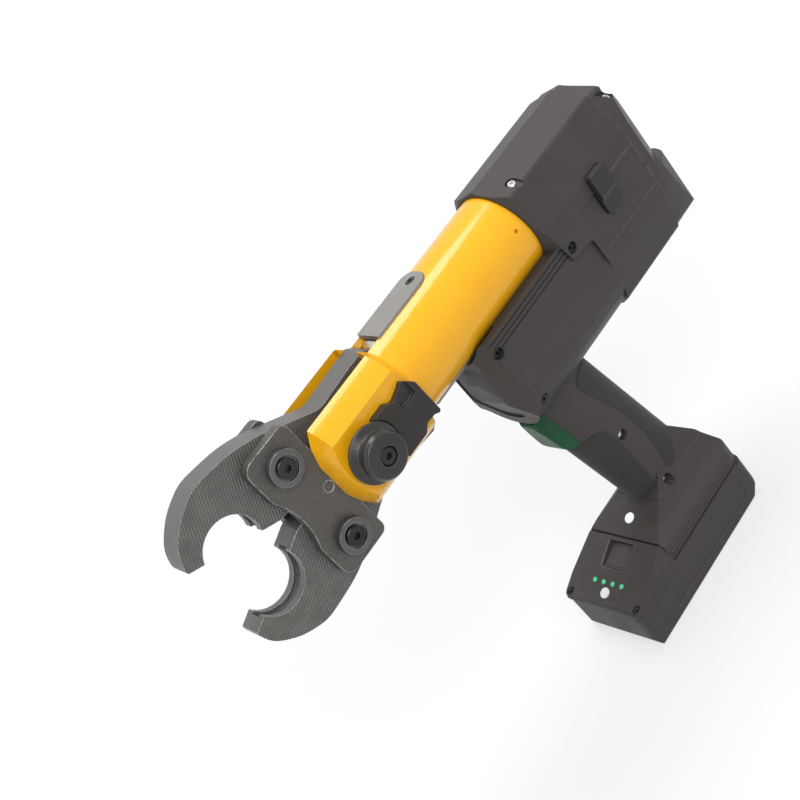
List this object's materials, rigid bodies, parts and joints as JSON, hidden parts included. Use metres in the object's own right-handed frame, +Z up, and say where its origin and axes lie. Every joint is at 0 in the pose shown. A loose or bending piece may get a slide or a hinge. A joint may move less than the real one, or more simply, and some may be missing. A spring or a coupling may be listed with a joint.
{
  "type": "pex press tool",
  "caption": "Cordless press tool: a pistol grip under a dark drive housing, a yellow swivelling fork head, and a pinned jaw set with two levers over open tails",
  "frame": {"origin": "middle of the battery's flat base", "axes": "+X forward along the drive axis to the jaws, +Y to the tool's left, the side of the pin's knob, +Z up"},
  "size_m": [0.4269, 0.0905, 0.3482],
  "materials": {
    "housing": "fine-grained moulded plastic",
    "soft_grip": "soft rubber, matte",
    "trigger": "moulded plastic",
    "lens": "clear lens",
    "dark_screw": "blackened steel",
    "head_yellow": "glossy paint",
    "guard_steel": "blasted steel",
    "knob_black": "black oxide, satin",
    "pin_steel": "ground steel",
    "jaw_steel": "phosphated forged steel, fine milling lines",
    "bolt_steel": "turned steel",
    "drive_steel": "machined steel",
    "cast_alloy": "die-cast",
    "winding": "copper windings on steel",
    "bronze": "bearing bronze",
    "seal": "seal rubber",
    "board": "circuit board",
    "cell": "sleeved cells",
    "led": "green light pipes",
    "button": "pale plastic",
    "inner_plastic": "moulded plastic"
  },
  "bodies": {
    "drive": {"housing_left": "housing", "housing_right": "housing", "rear_cap": "housing", "grip_rear": "soft_grip", "grip_front": "soft_grip", "housing_screws": "dark_screw", "work_light": "lens", "motor_can": "drive_steel", "gear_case": "cast_alloy", "pump_block": "cast_alloy", "oil_tank": "seal", "cylinder_sleeve": "drive_steel", "bearing_rings": "bronze", "retaining_ring": "drive_steel", "return_spring": "drive_steel", "switch": "inner_plastic", "control_board": "board", "terminal_block": "inner_plastic"},
    "rotor": {"rotor": "winding"},
    "eccentric": {"eccentric_shaft": "drive_steel"},
    "trigger": {"trigger": "trigger"},
    "reset": {"reset_button": "inner_plastic"},
    "head": {"head_shell": "head_yellow", "guard_top": "guard_steel", "guard_bottom": "guard_steel", "guard_screws": "dark_screw"},
    "carriage": {"piston": "drive_steel", "piston_seal": "seal", "roller_fork": "drive_steel", "roller_pins": "pin_steel"},
    "roller_up": {"upper_roller": "pin_steel"},
    "roller_down": {"lower_roller": "pin_steel"},
    "pin": {"locking_pin": "pin_steel", "pin_knob": "knob_black", "knob_screw": "dark_screw"},
    "latch": {"latch_slide": "knob_black"},
    "jaws": {"plate_left": "jaw_steel", "plate_right": "jaw_steel", "jaw_bolts": "bolt_steel", "bolt_screws": "dark_screw", "jaw_spring": "drive_steel", "spring_pin": "drive_steel"},
    "lever_up": {"upper_lever": "jaw_steel"},
    "lever_down": {"lower_lever": "jaw_steel"},
    "battery": {"battery_case": "housing", "battery_top": "housing", "battery_cells": "cell", "battery_screws": "dark_screw", "charge_lights": "led"},
    "release": {"release_button": "inner_plastic"},
    "gauge": {"charge_button": "button"}
  },
  "joints": [
    {"name": "head_swivel", "type": "hinge", "parent": "drive", "child": "head", "pos_m": [0.127, 0, 0.284], "axis": [1, 0, 0], "continuous": true},
    {"name": "carriage_slide", "type": "slide", "parent": "head", "child": "carriage", "axis": [1, 0, 0], "range_m": [0, 0.049], "stiffness_N_per_m": 2000, "springref_m": -0.02},
    {"name": "upper_roller_spin", "type": "hinge", "parent": "carriage", "child": "roller_up", "pos_m": [0.06125, 0, 0.2978], "axis": [0, 1, 0], "continuous": true},
    {"name": "lower_roller_spin", "type": "hinge", "parent": "carriage", "child": "roller_down", "pos_m": [0.06125, 0, 0.2702], "axis": [0, 1, 0], "continuous": true},
    {"name": "locking_pin_pull", "type": "slide", "parent": "head", "child": "pin", "axis": [0, 1, 0], "range_m": [0, 0.0486]},
    {"name": "latch_slide", "type": "slide", "parent": "head", "child": "latch", "axis": [-1, 0, 0], "range_m": [0, 0.008]},
    {"name": "jaw_swing", "type": "hinge", "parent": "head", "child": "jaws", "pos_m": [0.127, 0, 0.284], "axis": [0, -1, 0], "range_deg": [0, 0.4]},
    {"name": "upper_lever_swing", "type": "hinge", "parent": "jaws", "child": "lever_up", "pos_m": [0.1663, 0, 0.3161], "axis": [0, 1, 0], "range_deg": [0, 24.5]},
    {"name": "lower_lever_swing", "type": "hinge", "parent": "jaws", "child": "lever_down", "pos_m": [0.1663, 0, 0.2519], "axis": [0, -1, 0], "range_deg": [0, 19]},
    {"name": "rotor_spin", "type": "hinge", "parent": "drive", "child": "rotor", "pos_m": [-0.033, 0, 0.218], "axis": [1, 0, 0], "continuous": true},
    {"name": "eccentric_spin", "type": "hinge", "parent": "drive", "child": "eccentric", "pos_m": [-0.113, 0, 0.218], "axis": [1, 0, 0], "continuous": true},
    {"name": "trigger_press", "type": "slide", "parent": "drive", "child": "trigger", "axis": [-1, 0, 0], "range_m": [0, 0.0045], "stiffness_N_per_m": 400},
    {"name": "reset_press", "type": "slide", "parent": "drive", "child": "reset", "axis": [0, -1, 0], "range_m": [0, 0.002], "stiffness_N_per_m": 800},
    {"name": "battery_slide", "type": "slide", "parent": "drive", "child": "battery", "axis": [1, 0, 0], "range_m": [0, 0.075]},
    {"name": "release_press", "type": "slide", "parent": "battery", "child": "release", "axis": [-0.3429, 0, -0.9394], "range_m": [0, 0.002], "stiffness_N_per_m": 800},
    {"name": "gauge_press", "type": "slide", "parent": "battery", "child": "gauge", "axis": [-0.3429, 0, -0.9394], "range_m": [0, 0.0008], "stiffness_N_per_m": 800}
  ],
  "couplings": [
    {"joint": "upper_lever_swing", "follows": "carriage_slide", "rad_per_m": 8.7266},
    {"joint": "lower_lever_swing", "follows": "carriage_slide", "rad_per_m": 6.7676},
    {"joint": "eccentric_spin", "follows": "rotor_spin", "ratio": 0.1875}
  ]
}
